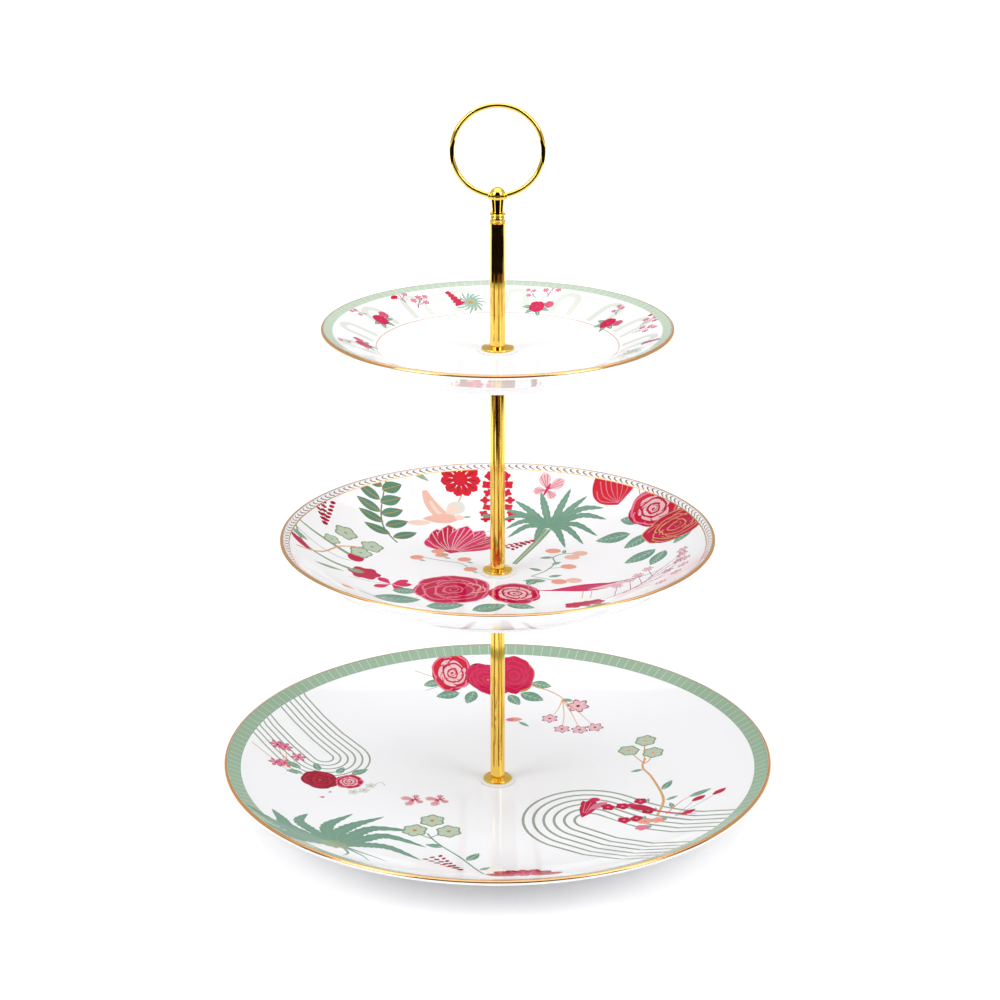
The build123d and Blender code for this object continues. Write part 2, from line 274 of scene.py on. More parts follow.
class PlateShape:
    """One plate's section in millimetres, taken from the CAD node and its gaskets."""

    plate_t, lip_t, hole_r, foot_w, foot_flat = 3.6, 2.4, 4.0, 4.4, 1.8
    lip_steps = 14
    rim_step, floor_step = 2.5, 2.0        # between points along the underside, outside and inside the foot
    root_round, edge_round = 0.8, 0.5      # where the foot leaves the plate, and at other edges

    def __init__(self, name, well_r, foot_r, shoulder, seat_node):
        low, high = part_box(name + "_plate")
        self.name, self.rim_r, self.well_r, self.foot_r = name, high.x / MM, well_r, foot_r
        self.well_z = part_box(name + "_flange_gasket")[0].z / MM
        self.under_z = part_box(seat_node)[1].z / MM
        self.foot_z = low.z / MM
        half = self.lip_t / 2
        lip_r, lip_z = self.rim_r - half, high.z / MM - half
        self.lip = (lip_r, lip_z)
        upper, lower = (well_r, self.well_z), (well_r, self.under_z)
        slope, self.upper, self.lower = 0.0, [], []
        if shoulder:
            turn_r, slope = shoulder
            turn_z = self.well_z + (turn_r - well_r) * math.tan(slope / 2)
            first = Arc(upper, 0, (turn_r, turn_z))
            upper = (turn_r, turn_z)
            under = (turn_r + self.plate_t * math.sin(slope), turn_z - self.plate_t * math.cos(slope))
            self.upper.append(first)
            self.lower.append(Arc(lower, 0, under))
            lower = under
        rim = 2 * math.atan2(lip_z - upper[1], lip_r - upper[0]) - slope
        lean, lift = half * math.sin(rim), half * math.cos(rim)
        self.rim_slope = rim
        self.lip_start = (lip_r - lean, lip_z + lift)
        self.upper.append(Arc(upper, slope, self.lip_start))
        low_slope = self.lower[0].end_slope if self.lower else 0
        self.lower.append(Arc(lower, low_slope, (lip_r + lean, lip_z - lift)))

    def top(self, r):
        """Height and slope of the upper surface."""
        if r <= self.well_r:
            return self.well_z, 0.0
        for arc in self.upper:
            if r <= arc.end[0]:
                return arc.height(r), arc.tilt(r)
        return self.lip_start[1], math.tan(self.rim_slope)

    def under(self, r):
        if r <= self.well_r:
            return self.under_z
        for arc in self.lower:
            if r <= arc.end[0]:
                return arc.height(r)
        return self.lower[-1].end[1]

    def outline(self):
        """The path from the lip's inner edge round the underside to the hole's upper edge."""
        path = []
        half = self.lip_t / 2
        for k in range(self.lip_steps + 1):
            angle = math.pi / 2 + self.rim_slope - math.pi * k / self.lip_steps
            path.append((self.lip[0] + half * math.cos(angle), self.lip[1] + half * math.sin(angle), 0))
        foot_out, foot_in = self.foot_r + self.foot_w / 2, self.foot_r - self.foot_w / 2
        r = self.lower[-1].end[0] - self.rim_step
        while r > foot_out + 1.5:
            path.append((r, self.under(r), 0))
            r -= self.rim_step
        path += [
            (foot_out, self.under(foot_out), self.root_round),
            (self.foot_r + self.foot_flat / 2, self.foot_z, self.edge_round),
            (self.foot_r - self.foot_flat / 2, self.foot_z, self.edge_round),
            (foot_in, self.under(foot_in), self.root_round),
        ]
        r = foot_in - self.floor_step
        while r > self.well_r - 1:
            path.append((r, self.under(r), 0))
            r -= self.floor_step
        path += [
            (self.well_r - 2, self.under_z, 0),
            (self.hole_r, self.under_z, self.edge_round),
            (self.hole_r, self.well_z, self.edge_round),
            (self.hole_r + 1.5, self.well_z, 0),
        ]
        return rounded(path)


# ---- printed shapes, in plate millimetres ---------------------------------------------
def spin(points, x=0.0, y=0.0, turn=0.0, size=1.0):
    """Points turned by an angle in degrees, scaled and moved to (x, y)."""
    cos, sin = math.cos(math.radians(turn)) * size, math.sin(math.radians(turn)) * size
    return [(x + px * cos - py * sin, y + px * sin + py * cos) for px, py in points]


def oval(a, b, count=14):
    return [(a * math.cos(TAU * k / count), b * math.sin(TAU * k / count)) for k in range(count)]


def lobed(r, lobes, depth, count=40, phase=0.0):
    """A round shape with a scalloped edge."""
    out = []
    for k in range(count):
        angle = TAU * k / count
        reach = r * (1 - depth + depth * abs(math.cos(lobes * TAU * k / count / 2 + phase)))
        out.append((reach * math.cos(angle), reach * math.sin(angle)))
    return out


def blade(length, width, belly=0.45, count=9, teeth=0.0):
    """A leaf or petal from the origin along +X, widest at belly, its edge cut into teeth if asked."""
    power = math.log(0.5) / math.log(belly)
    rise = []
    for k in range(1, count):
        t = k / count
        w = width / 2 * math.sin(math.pi * t ** power) ** 0.85
        rise.append((t * length, w * (1 - teeth * (k % 2))))
    return [(0, 0)] + [(x, -y) for x, y in rise] + [(length, 0)] + rise[::-1]


def smooth(points, steps=6):
    """A smooth curve through the points, by the Catmull-Rom formula."""

    def blend(a, b, c, d, t):
        return 0.5 * (
            2 * b + (c - a) * t + (2 * a - 5 * b + 4 * c - d) * t * t + (3 * b - a - 3 * c + d) * t ** 3
        )

    out = []
    last = len(points) - 1
    for i in range(last):
        p0, p1, p2, p3 = points[max(i - 1, 0)], points[i], points[i + 1], points[min(i + 2, last)]
        for k in range(steps):
            out.append(tuple(blend(*axis, k / steps) for axis in zip(p0, p1, p2, p3)))
    out.append(points[-1])
    return out


def ribbon(points, start, end=None, teeth=0.0, swell=0.0):
    """A band of tapering width along a curve."""
    end = start if end is None else end
    left, right = [], []
    last = len(points) - 1
    for i, (x, y) in enumerate(points):
        ax, ay = points[max(i - 1, 0)]
        bx, by = points[min(i + 1, last)]
        length = math.hypot(bx - ax, by - ay) or 1
        t = i / last
        half = (start + (end - start) * t + swell * math.sin(math.pi * t)) / 2
        cut = 1 - teeth * (i % 2)
        nx, ny = -(by - ay) / length * half * cut, (bx - ax) / length * half * cut
        left.append((x + nx, y + ny))
        right.append((x - nx, y - ny))
    return left + right[::-1]


CLEAR_R = 9.6           # nothing is printed nearer to the post than this
ROSE_RINGS = ((0.60, 0.47, 6), (0.43, 0.40, 5), (0.24, 0.33, 4), (0.1, 0.2, 3))  # reach, petal size, count
PETAL_POINTS = 15
PETAL_EDGE = 1.2        # size of a flower petal's coloured edge against the petal
PETAL_WAVE = 0.13       # unevenness of a rose petal's outline


class Print:
    """What is printed on one plate: closed shapes in painting order, and plain rings."""

    def __init__(self, limit, band_r):
        self.shapes, self.limit, self.band_r, self.rings = [], limit, band_r, [band_r]

    def add(self, points, ink, over=False):
        kept = []
        for x, y in points:
            r = math.hypot(x, y)
            pull = min(1, self.limit / r) if r else 1
            if r < CLEAR_R:
                pull = CLEAR_R / max(r, 0.1)
            kept.append((x * pull, y * pull))
        self.shapes.append((kept, ink, over))

    def put(self, points, x, y, turn, ink, over=False):
        """A shape turned and moved to its place."""
        self.add(spin(points, x, y, turn), ink, over)

    def stroke(self, points, ink, start=0.4, end=None, steps=6, over=False):
        self.add(ribbon(smooth(points, steps), start, end), ink, over)

    def leaf(self, x, y, turn, length, width, ink="sage", rib="vein", veins=4):
        self.put(blade(length, width), x, y, turn, ink)
        self.put(ribbon([(0, 0), (length * 0.5, 0), (length * 0.92, 0)], 0.55, 0.25), x, y, turn, rib)
        for k in range(veins):
            at = length * (0.18 + 0.62 * k / max(veins - 1, 1))
            reach = width * (0.36 - 0.05 * abs(k - veins / 2))
            for side in (1, -1):
                self.put(ribbon([(at, 0), (at + reach * 0.9, side * reach)], 0.32, 0.2), x, y, turn, rib)

    def leaves(self, places, share=0.5, **looks):
        """Leaves at (x, y, turn, length), each as wide as a share of its length."""
        for x, y, turn, length in places:
            self.leaf(x, y, turn, length, length * share, **looks)

    def flower(self, x, y, r, count=5, petal="mint", eye="ochre", turn=0.0, width=0.8, edge=None):
        for k in range(count):
            shape = blade(r, r * width, belly=0.6, count=7)
            angle = turn + 360 * k / count
            if edge:
                self.put(spin(shape, turn=angle, size=PETAL_EDGE), x, y, 0, edge)
            self.put(spin(shape, turn=angle), x, y, 0, petal)
        self.put(oval(r * 0.2, r * 0.2, 8), x, y, 0, eye)

    def rose(self, x, y, rx, ry, fill="crimson", edge="pink", under="wine", heart="crimson", turn=0.0,
             outer=None, line=0.05):
        """Uneven overlapping petals, each with a drawn edge, round a curled heart."""
        rng = random.Random(int(5000 + 7 * x + 13 * y))

        def put(points, ink):
            self.put([(px * rx, py * ry) for px, py in points], x, y, turn, ink)

        def petal(angle, reach, size, ink, rim):
            phase = rng.uniform(0, TAU)
            shape = []
            for k, (px, py) in enumerate(oval(size * 0.8, size * 1.2, PETAL_POINTS)):
                wide = 1 + PETAL_WAVE * math.sin(3 * TAU * k / PETAL_POINTS + phase)
                tall = 1 + PETAL_WAVE * math.cos(2 * TAU * k / PETAL_POINTS + phase)
                shape.append((px * wide, py * tall))
            cos, sin = math.cos(angle), math.sin(angle)
            put(spin(shape, reach * cos, reach * sin, math.degrees(angle)), rim)
            inner = reach - line * 0.9
            put(spin(shape, inner * cos, inner * sin, math.degrees(angle), size=1 - line / size), ink)

        put(lobed(1.0, 5, 0.1, 44, rng.uniform(0, TAU)), under)
        for ring, (reach, size, count) in enumerate(ROSE_RINGS):
            for k in range(count):
                angle = TAU * ((k + rng.uniform(-0.22, 0.22)) / count + 0.37 * ring)
                ink, rim = (outer, edge) if outer and ring < 1 else (fill, under if outer else edge)
                petal(angle, reach * rng.uniform(0.9, 1.1), size * rng.uniform(0.88, 1.12), ink, rim)
        rim = under if outer else edge
        turns = [0.2 + 0.16 * k for k in range(9)]
        curl = [(0.13 * t * math.cos(5 * t), 0.13 * t * math.sin(5 * t)) for t in turns]
        put(ribbon(curl, line, line / 2), rim)
        put(oval(0.06, 0.05, 8), heart)
        for k in range(9):
            angle, start = TAU * (k + rng.uniform(0, 0.6)) / 9, rng.uniform(0.4, 0.72)
            sweep = []
            for t in (0, 0.33, 0.66, 1):
                out, bend = start + 0.16 * t, angle + 0.55 * t
                sweep.append((out * math.cos(bend), out * math.sin(bend)))
            put(ribbon(sweep, line * 0.9, 0.02), rim)

    def frond(self, points, width, ink="sage", rib="vein", over=False):
        path = smooth(points, 8)
        self.add(ribbon(path, width * 0.4, 0.25, teeth=0.2, swell=width * 0.52), ink, over)
        self.add(ribbon(path[:-3:2], 0.5, 0.22), rib, over)

    def berries(self, x, y, turn, length, rows=7, ink="wine", stem="sage", width=4.2):
        self.put(ribbon([(0, 0), (length, 0)], 0.5, 0.3), x, y, turn, stem)
        for k in range(rows):
            t = k / (rows - 1)
            spread = width / 2 * (1.05 - t)
            for side in (-1, 0, 1):
                berry = spin(oval(0.95, 1.6, 9), length * t + 0.6 * abs(side), side * spread, 35 * side)
                self.put(berry, x, y, turn, ink if (k + side) % 2 else "crimson")

    def sprig(self, x, y, turn, length, heads=5, stem="twig", bloom="mauve", light="blush", size=2.2):
        """A thin stem that branches to small open blooms."""
        bow = smooth([(0, 0), (length * 0.5, length * 0.06), (length, 0)])
        self.put(ribbon(bow, 0.6, 0.3), x, y, turn, stem)
        for k in range(heads):
            t = 0.35 + 0.65 * k / max(heads - 1, 1)
            side = (-1) ** k
            base = (length * (t - 0.22), 0)
            tip = (length * t + 1.5, side * length * 0.24 * (1.3 - t) * 1.6)
            self.put(ribbon([base, tip], 0.4, 0.28), x, y, turn, stem)
            centre = spin([tip], x, y, turn)[0]
            self.flower(*centre, size, 6, light, "sage", turn=25 * k, width=0.55, edge=bloom)

    def bud(self, x, y, turn, length, ink="crimson", cup="sage"):
        self.put(blade(length, length * 0.55, belly=0.5), x, y, turn, ink)
        self.put(blade(length * 0.55, length * 0.42, belly=0.5), x, y, turn, cup)

    def butterfly(self, x, y, turn, size, wing="blush", mark="magenta"):
        for side in (1, -1):
            for angle, reach, wide in ((38, 1.0, 0.62), (118, 0.72, 0.5)):
                shape = spin(blade(size * reach, size * wide, belly=0.62, count=8), turn=side * angle)
                self.put(shape, x, y, turn, wing)
                for part in (-12, 0, 12):
                    vein = spin([(size * 0.12, 0), (size * reach * 0.86, 0)], turn=side * (angle + part))
                    self.put(ribbon(vein, 0.24, 0.36), x, y, turn, mark)
        self.put(oval(size * 0.42, size * 0.08, 10), x, y, turn, mark)

    def arches(self, x, y, turn, radii, length, ink="line", width=0.8):
        """Nested U-shaped lines whose limbs run outwards in the direction of turn."""
        angles = [math.pi * (k / 20 - 0.5) for k in range(21)]
        for r in radii:
            limbs = [(length * t, -r) for t in (1, 0.75, 0.5, 0.25)]
            limbs += [(-r * math.cos(a), r * math.sin(a)) for a in angles]
            limbs += [(length * t, r) for t in (0.25, 0.5, 0.75, 1)]
            self.add(ribbon(spin(limbs, x, y, turn), width), ink)

    def ticks(self, count, start, end, half, ink):
        """Short radial lines all round the plate."""
        for k in range(count):
            bar = [(start, -half), (end, -half), (end, half), (start, half)]
            self.add(spin(bar, turn=360 * k / count), ink, True)


LOWER_BAND, MIDDLE_LINE, TOP_BAND = 125.0, 98.2, 75.7   # radii where the bands or fine lines start
TOP_LINE = 55.6
GOLD_RING, PINK_RING = 0.45, 0.5    # widths of the fine lines
RIM = 999.0             # a radius past every lip


def decorate_lower(p):
    p.ticks(168, 125.3, 131.3, 0.2, "tick")
    p.arches(-87, 22, 130, [5 + 3.65 * k for k in range(6)], 62, width=0.95)
    p.arches(44, -43, -40, [7.5 + 4.9 * k for k in range(6)], 85, width=1.35)
    # roses at the back
    for x, y, turn in ((-38, 96, 150), (-33, 104, 200), (-44, 110, 160), (-30, 120, 110)):
        p.stroke([(-24, 104), (x, y)], "moss", 0.5, 0.3)
    p.leaves([(-20, 96, 200, 13), (-12, 98, 250, 12), (6, 95, 300, 11), (12, 96, 330, 14), (18, 104, 340, 11),
              (-30, 104, 205, 10)], 0.55)
    p.rose(-24, 111, 11, 14, "blush", "pink", "crimson", "crimson", outer="scarlet")
    p.rose(-5, 107, 10, 14, "crimson", "magenta", "wine", "ochre", 40)
    p.rose(9, 110, 11, 14, "crimson", "magenta", "ochre", "scarlet", 10, line=0.04)
    p.stroke([(18, 102), (27, 97), (34, 90), (39, 80)], "twig", 0.8, 0.5)
    for x, y in ((42, 82), (27, 71), (33, 59), (42, 58), (50, 60)):
        p.stroke([(34, 89), ((34 + x) / 2 + 1, (89 + y) / 2), (x, y)], "twig", 0.6, 0.3)
        p.flower(x, y, 5.2 if x == 42 and y > 60 else 3.9, 6, "blush", "wine", x, 0.6, edge="mauve")
    p.leaf(34, 89, -20, 6, 2.4, veins=0)
    p.bud(4, 70, 5, 9, "coral", "pink")
    p.leaf(11, 68, -50, 8, 2.4, veins=0)
    # left side: a rose pair under leaves, pink sprigs
    p.stroke([(-122, 18), (-112, 10), (-104, 2), (-98, -1)], "twig", 0.6, 0.4)
    for x, y in ((-110, 24), (-106, 24), (-99, 17), (-109, 6), (-105, 8)):
        p.stroke([(-103, 4), (x, y)], "twig", 0.5, 0.3)
        p.flower(x, y, 3.4, 6, "pink", "wine", x, 0.5, edge="mauve")
    p.leaves([(-97, 6, 150, 9), (-88, 7, 110, 8), (-79, 6, 70, 8), (-72, 6, 40, 10), (-96, 2, 190, 8)],
             veins=3)
    p.rose(-87, -3, 9.5, 9.5, "crimson", "wine", "wine", "ochre", 20, line=0.07)
    p.rose(-73, -2, 7, 7.5, "blush", "pink", "crimson", "pink", outer="crimson")
    for x, y in ((-70, -13), (-65, -11), (-62, -6)):
        p.flower(x, y, 3, 5, "mist", "line", x)
    p.stroke([(-60, -5), (-57, -2), (-55, -6)], "line", 0.3)
    p.bud(-86, -22, 20, 3, "crimson", "pink")
    p.bud(-82, -16, 60, 2.5, "mauve", "blush")
    for x, turn in ((-40, 0), (-28, 5)):
        p.butterfly(x, -21, 200 + turn, 7.5, "blush", "crimson")
    # palm at the front left
    fronds = [
        ((-96, -68), (-101, -59), (-106, -50)), ((-86, -66), (-93, -56), (-90, -44)),
        ((-79, -66), (-79, -52), (-69, -37)), ((-74, -62), (-67, -49), (-54, -39)),
        ((-68, -64), (-58, -52), (-39, -54)), ((-64, -68), (-52, -60), (-33, -71)),
        ((-62, -74), (-50, -74), (-35, -88)), ((-90, -78), (-104, -68), (-118, -56)),
        ((-94, -82), (-106, -78), (-114, -70)), ((-86, -84), (-98, -88), (-106, -82)),
    ]
    for tail in fronds:
        p.frond([(-74, -80), *tail], 10.0, "sage", "moss", True)
    for tip in ((-50, -96), (-58, -100), (-70, -100)):
        p.stroke([(-72, -80), ((tip[0] - 66) / 2, (tip[1] - 82) / 2), tip], "sage", 2.2, 0.3, 6, True)
    p.put(lobed(7, 9, 0.3, 30), -75, -80, 0, "moss", True)
    # green flowers, berries and the bloom at the front
    p.stroke([(-6, -108), (-16, -84), (-28, -66), (-33, -56)], "sage", 1.0, 0.8)
    p.leaves([(-14, -86, 60, 11), (-25, -70, 165, 9), (-8, -100, 50, 7)], 0.45, veins=2)
    p.stroke([(-30, -62), (-38, -56), (-40, -54)], "sage", 0.7)
    p.stroke([(-31, -60), (-24, -54)], "sage", 0.7)
    for x, y in ((-39, -53), (-31, -43), (-23, -54)):
        p.flower(x, y, 5.4, 6, "mint", "ochre", x, 0.85, edge="moss")
    p.berries(-30, -83, -52, 21, 7, width=8.0)
    for x, y, turn, length in (
        (10, -112, 165, 15), (10, -110, 148, 13), (11, -110, 125, 11), (12, -110, 95, 10),
        (13, -110, 65, 11), (14, -111, 38, 12), (14, -112, 14, 15),
    ):
        p.add(spin(blade(length, 6.5, 0.62, 9), x, y, turn, size=1.08), "wine", True)
        p.put(blade(length, 6.0, 0.62, 9), x, y, turn, "crimson", True)
        p.put(ribbon([(3, 0), (length * 0.85, 0)], 0.4, 0.5), x, y, turn, "pink", True)
    p.put(lobed(3.5, 6, 0.3, 24), 12, -110, 0, "magenta", True)
    # tree, birds and buds inside the right arches
    p.stroke([(76, -40), (80, -22), (76, 2), (72, 14), (74, 24)], "twig", 1.5, 1.0)
    for x, y in ((66, 33), (75, 42), (78, 29)):
        p.stroke([(73, 18), ((73 + x) / 2, y - 8), (x, y)], "twig", 0.8, 0.6)
        p.flower(x, y, 4.8, 6, "mint", "coral", x, 0.9, edge="moss")
    p.leaves([(72, 12, 205, 7), (80, -12, 60, 11), (81, -24, 30, 7), (92, -24, 20, 12), (84, -34, 100, 7)],
             0.35, veins=2)
    p.stroke([(80, -40), (88, -28), (94, -23)], "twig", 0.8, 0.5)
    for x, y in ((92, -42), (98, -28), (108, -26)):
        p.stroke([(84, -44), (x - 4, y - 2)], "line", 0.4)
        p.bud(x - 5, y - 2, 30, 8, "crimson", "crimson")
    p.put(blade(21, 8, 0.55), 40, -40, 72, "crimson")
    p.put(blade(13, 5, 0.6), 43, -32, 40, "pink")
    p.put(blade(10, 4, 0.6), 43, -32, 100, "crimson")
    for turn in (62, 72, 82):
        p.put(ribbon([(5, 0), (17, 0)], 0.5, 0.3), 40, -40, turn, "pink")
    p.put(oval(2.6, 2.2, 10), 47, -21, 0, "magenta")
    p.stroke([(46, -26), (55, -28), (68, -32)], "sage", 0.6)
    for x, y, ink in (
        (53, -29, "crimson"), (60, -28, "crimson"), (69, -23, "crimson"), (60, -43, "crimson"),
        (66, -42, "crimson"), (70, -46, "coral"), (76, -46, "coral"), (68, -53, "pink"), (72, -34, "wine"),
    ):
        p.flower(x, y, 3.6, 5, ink, "pink", x * 7, 0.9)
        p.leaf(x + 3, y - 2, 10 + x, 5, 1.8, veins=0)
    p.put(blade(15, 6, 0.4), 63, -27, -28, "crimson")
    for y in (-46, -50):
        p.stroke([(74, -34), (84, -40), (94, y)], "magenta", 1.4, 0.4)
    p.put(oval(2.2, 1.8, 10), 64, -27, 0, "magenta")


def decorate_middle(p):
    p.rings.append(p.band_r + GOLD_RING)
    chevrons = 176
    for k in range(chevrons):
        turn = 360 * k / chevrons
        p.add(spin(ribbon([(98.8, -1.2), (99.5, 0.6), (100.1, 1.6)], 0.3, 0.75), turn=turn), "umber", True)
        p.add(spin(ribbon([(100.1, 1.6), (100.8, 0.5), (101.6, -1.2)], 0.75, 0.3), turn=turn), "umber", True)
    # leaf branch
    p.stroke([(-49, 36), (-56, 48), (-58, 62), (-56, 84)], "green", 0.9, 0.6)
    for t, side in (
        (0.1, 1), (0.16, -1), (0.3, 1), (0.36, -1), (0.48, 1), (0.52, -1),
        (0.66, 1), (0.7, -1), (0.84, 1), (0.88, -1), (1.0, 0.3),
    ):
        x, y = -49 - 8 * t - 5 * math.sin(math.pi * t), 36 + 46 * t
        p.leaf(x, y, 98 - 62 * side, 14.5 - 3 * t, 6.4, "green", "ochre", 0)
    # berries and buds on the left rim
    p.stroke([(-94, 42), (-96, 30)], "sage", 1.0, 0.5)
    p.berries(-86, 52, -84, 18, 7, "wine", "moss", 9)
    p.stroke([(-96, 24), (-90, 22), (-80, 18), (-70, 12)], "moss", 0.9, 2.6)
    p.put(oval(4, 4.6, 12), -68, 11, 0, "crimson")
    p.stroke([(-97, 18), (-92, 4), (-80, -2), (-70, -4)], "moss", 0.8, 2.4)
    p.put(lobed(8, 6, 0.25, 30), -63, -6, 0, "crimson")
    p.put(blade(9, 5, 0.6), -72, -5, 0, "moss")
    p.stroke([(-96, 16), (-86, 10), (-76, 6), (-70, 6)], "line", 0.5)
    p.put(blade(14, 5, 0.5), -99, 8, -40, "crimson")
    p.leaf(-99, 12, -20, 9, 4, veins=2)
    p.stroke([(-95, -4), (-84, 4), (-76, 18), (-66, 24), (-60, 26)], "twig", 1.1, 0.7)
    for x, y in ((-74, 33), (-61, 27), (-66, 18), (-80, 22)):
        p.flower(x, y, 5 if x > -80 else 3.6, 5, "mint", "line", x, 0.9, edge="moss")
    p.leaf(-86, -12, 10, 14, 3, "moss", veins=0)
    # starry flower, leaves and the large bloom at the front left
    p.stroke([(-70, -15), (-50, -16)], "line", 0.4)
    for turn in (38, 128, 218, 308, 0):
        p.put(blade(10, 5, 0.65), -50, -16, turn, "magenta")
    for x, y, turn, length in ((-50, -38, 8, 22), (-27, -44, 10, 18), (-6, -48, 25, 17), (-45, -24, 0, 13)):
        p.leaf(x - length / 3, y, turn, length, length * 0.6, veins=5)
    p.bud(-66, -34, 160, 7, "coral", "peach")
    p.stroke([(-64, -34), (-50, -40)], "sage", 0.6)
    p.rose(-21, -22, 18.5, 18, "crimson", "pink", "magenta", "wine", 15, line=0.03)
    for path in ([(-14, -14), (-8, -18), (-10, -24)], [(-12, -26), (-6, -24), (-7, -18)]):
        p.stroke(path, "peach", 0.8, 0.5)
    # red aster, peach bird, fan bloom
    p.stroke([(-18, 89), (-19, 80), (-24, 72)], "twig", 0.9, 0.6)
    for k in range(11):
        p.put(blade(10.5, 5.4, 0.76, 9, 0.1), -19, 92, 360 * k / 11, "scarlet")
    p.put(oval(4, 4, 14), -19, 92, 0, "scarlet")
    for k in range(11):
        p.put(ribbon([(3, 0), (8, 0)], 0.3, 0.7), -19, 92, 360 * k / 11, "wine")
    p.leaf(-46, 92, -20, 12, 3, "moss", veins=3)
    p.add(ribbon(smooth([(-23, 63), (-29, 68), (-34, 75), (-37, 82)]), 6, 2.5, swell=3), "peach")
    p.add(ribbon(smooth([(-24, 64), (-30, 69), (-34, 76)]), 3.0, 1.5), "shell")
    p.put(blade(15, 9, 0.62), -26, 66, 56, "mist")
    p.put(blade(11, 6, 0.6), -26, 67, 58, "shell")
    p.put(blade(19, 8, 0.42), -19, 66, 192, "peach")
    p.put(blade(13, 4.5, 0.5), -33, 60, 196, "shell")
    p.put(oval(2.6, 2.2, 10), -19, 66.5, 0, "shell")
    p.put(blade(4, 1.4, 0.4, 6), -17, 67, 10, "moss")
    for turn, length in ((118, 23), (34, 27), (104, 30), (48, 31), (92, 34), (62, 34), (77, 35)):
        shape = blade(length, 11.5, 0.66, 11)
        p.put(spin(shape, size=1.025), -23, 25, turn, "blush")
        p.put(shape, -23, 25, turn, "magenta" if turn % 4 else "crimson")
        for fan in (-8, -3, 2, 7):
            sweep = spin([(5, 0), (length * 0.5, 0.6), (length * 0.93, -0.4)], turn=turn + fan)
            p.put(ribbon(sweep, 0.3, 0.5), -23, 25, 0, "blush")
    p.stroke([(-8, 52), (0, 58), (4, 66)], "line", 0.4)
    # coral twigs left of the post
    p.stroke([(-36, 20), (-28, 16), (-18, 12), (-14, 6)], "sage", 0.5)
    for x, y in ((-39, 20), (-27, 23), (-29, 28), (-16, 17), (-13, 4)):
        p.put(oval(3.4, 2.9, 12), x, y, 0, "coral")
        p.leaf(x + 1, y - 3, -30, 4, 1.6, veins=0)
    # red spike beside the post
    p.stroke([(0, 66), (1, 80), (-1, 96)], "line", 0.6)
    for k in range(7):
        for side in (-1, 1):
            wide = 6.0 + 1.2 * (k % 2) - 0.3 * k
            p.put(lobed(2.7, 4, 0.45, 16, k), side * wide, 66 + 4.8 * k, 0, "scarlet")
            p.put(oval(0.7, 0.9, 8), side * wide, 66 + 4.8 * k, 0, "crimson")
    p.bud(-8, 69, -10, 8, "scarlet", "sage")
    # butterfly, palm, berries
    p.butterfly(25, 85, 60, 10, "blush", "magenta")
    trunk = [(8, 11), (13, 24), (19, 40), (25, 55)]
    p.add(ribbon(trunk, 2.4, 3.8), "moss")
    p.add(ribbon(trunk, 0.5, 0.8), "vein")
    for x, y in (
        (22, 84), (37, 83), (45, 76), (53, 65), (54, 56), (49, 43), (42, 36),
        (33, 33), (9, 80), (4, 74), (3, 66), (4, 57), (5, 47), (18, 42),
    ):
        dx, dy = x - 26, y - 58
        droop = 5.0 if dy < 14 else 2.0
        p.frond([(26, 57), (26 + dx * 0.55, 58 + dy * 0.5 + droop * 1.3), (x, y)], 5.8, "sage", "moss")
    p.berries(5, 33, 38, 15, 6, width=6)
    # tulip and the rose pair at the right rim
    tulip = [(60, 64), (52, 68), (48, 75), (49, 84), (56, 92), (66, 90), (72, 81), (68, 71), (60, 64)]
    p.add(smooth(tulip, 4), "scarlet")
    for x, y in ((50, 77), (52, 82), (54.5, 84), (57, 86), (60, 86), (63, 84), (66, 81), (69, 77)):
        p.stroke([(60, 65.5), (60 + (x - 60) * 0.85, 65 + (y - 65) * 0.45), (x, y)], "pink", 0.25, 0.6, 4)
    for x, y in ((76, 76), (70, 74), (80, 72)):
        p.stroke([(72, 56), (x, y)], "sage", 0.4)
    p.leaves([(65, 38, 180, 17), (74, 33, 212, 15), (72, 46, 150, 13), (76, 15, 205, 17), (80, 10, 238, 14),
              (94, 20, 215, 12)], 0.56, veins=5)
    p.rose(77, 51, 11.5, 15, "blush", "pink", "crimson", "crimson", 30, outer="scarlet")
    p.rose(87, 29, 12.5, 17, "crimson", "twig", "wine", "wine", 70, line=0.022)
    # coral twigs and long-tailed bird on the right
    p.stroke([(16, -5), (23, 2), (27.5, 12), (27, 20), (33, 25), (40, 23)], "sage", 0.7)
    p.stroke([(24, 5), (34, 7)], "sage", 0.5)
    p.stroke([(16, -5), (24, -9), (30, -11)], "sage", 0.6)
    for x, y in ((27, 28.5), (36, 20), (40, 25), (34, 7.5), (29, -12), (36, -10.5)):
        p.put(oval(3.9, 3.2, 12), x, y, 0, "coral" if x < 36 else "peach")
    p.leaves([(21, 2, 150, 7), (26, 10, 40, 6), (27, 20, 190, 7), (32, 25, 80, 5), (24, -6, 20, 7),
              (23, -11, 178, 11)], 0.42, veins=0)
    p.put(blade(38, 9, 0.62), 21, -24, 12, "magenta")
    p.stroke([(14, -23), (24, -23), (36, -21)], "magenta", 0.4, 1.6)
    p.stroke([(40, -20), (52, -15), (64, -14), (78, -12)], "mauve", 1.6, 0.3)
    p.put(blade(24, 4, 0.5), 42, -22, 18, "blush")
    for x in (40, 44):
        p.stroke([(x, -24), (x - 1, -34)], "twig", 0.4)
    for x, y in ((35, -43), (40, -42), (45, -41)):
        p.put(lobed(4.6, 5, 0.25, 24), x, y, 0, "crimson")
    p.leaf(40, -48, 10, 12, 4, veins=2)
    for x, y, turn, length in ((50, -38, 28, 34), (58, -33, 34, 34), (64, -28, 40, 32), (70, -20, 44, 26)):
        p.sprig(x, y, turn, length, 3, "mauve", "mauve", "blush", 2.4)
